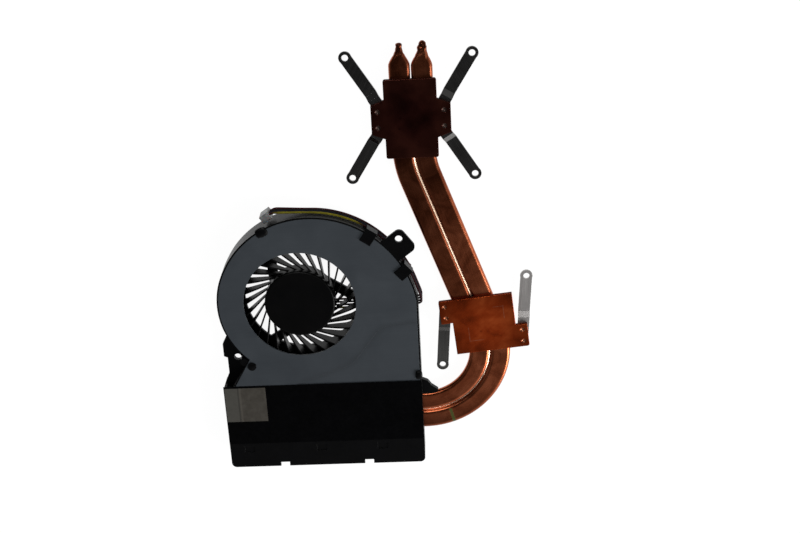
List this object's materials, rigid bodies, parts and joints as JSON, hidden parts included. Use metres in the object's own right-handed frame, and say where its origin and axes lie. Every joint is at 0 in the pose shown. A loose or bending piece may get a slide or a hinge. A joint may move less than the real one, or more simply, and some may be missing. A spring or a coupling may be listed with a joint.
{
  "type": "laptop cooling fan heatsink",
  "caption": "Flat laptop blower in a scroll housing with a finned exhaust duct, joined by bent copper heat pipes to processor and graphics contact plates on sprung arms.",
  "frame": {"origin": "on the fan's axis, at the underside of the base", "axes": "+X along the duct towards the heat pipes' bend, +Y from the exhaust to the processor plate, +Z along the fan's axis to the cover and the plates' contact faces"},
  "size_m": [0.1221, 0.1697, 0.0111],
  "materials": {
    "housing_plastic": "fine moulded texture",
    "rotor_plastic": "smooth moulded",
    "cover_steel": "satin coated sheet",
    "copper": "tarnished copper, rubbed bright on the edges",
    "spring_steel": "rolled sheet",
    "fin_metal": "folded thin sheet",
    "black_film": "satin film",
    "grey_tape": "conductive cloth tape",
    "wire_red": "soft insulation",
    "wire_black": "soft insulation",
    "wire_yellow": "soft insulation",
    "wire_blue": "soft insulation",
    "plug_white": "translucent nylon",
    "terminal_metal": "tinned",
    "steel": "plated",
    "magnet": "bonded magnet",
    "brass": "turned",
    "bronze": "sintered",
    "white_plastic": "moulded",
    "core_steel": "laminated",
    "coil_copper": "enamelled wire",
    "board_green": "solder mask",
    "chip_black": "moulded"
  },
  "bodies": {
    "housing": {"fan_base": "housing_plastic", "fan_cover": "cover_steel", "exhaust_duct": "housing_plastic", "fin_stack": "fin_metal", "duct_film": "black_film", "ground_tape": "grey_tape", "heat_pipe_inner": "copper", "heat_pipe_outer": "copper", "cpu_plate": "copper", "gpu_plate": "copper", "cpu_arm_left": "spring_steel", "cpu_arm_right": "spring_steel", "gpu_arm_left": "spring_steel", "gpu_arm_right": "spring_steel", "wire_red": "wire_red", "wire_black": "wire_black", "wire_yellow": "wire_yellow", "wire_blue": "wire_blue", "fan_plug": "plug_white", "plug_terminals": "terminal_metal", "bearing_tube": "brass", "bearing_sleeve": "bronze", "thrust_washer": "white_plastic", "stator_core": "core_steel", "stator_insulator": "white_plastic", "stator_coils": "coil_copper", "motor_board": "board_green", "driver_chip": "chip_black"},
    "rotor": {"impeller": "rotor_plastic", "rotor_cup": "steel", "rotor_magnet": "magnet", "rotor_shaft": "steel"}
  },
  "joints": [
    {"name": "rotor_spin", "type": "hinge", "parent": "housing", "child": "rotor", "pos_m": [0, 0, 0], "axis": [0, 0, 1], "continuous": true}
  ]
}
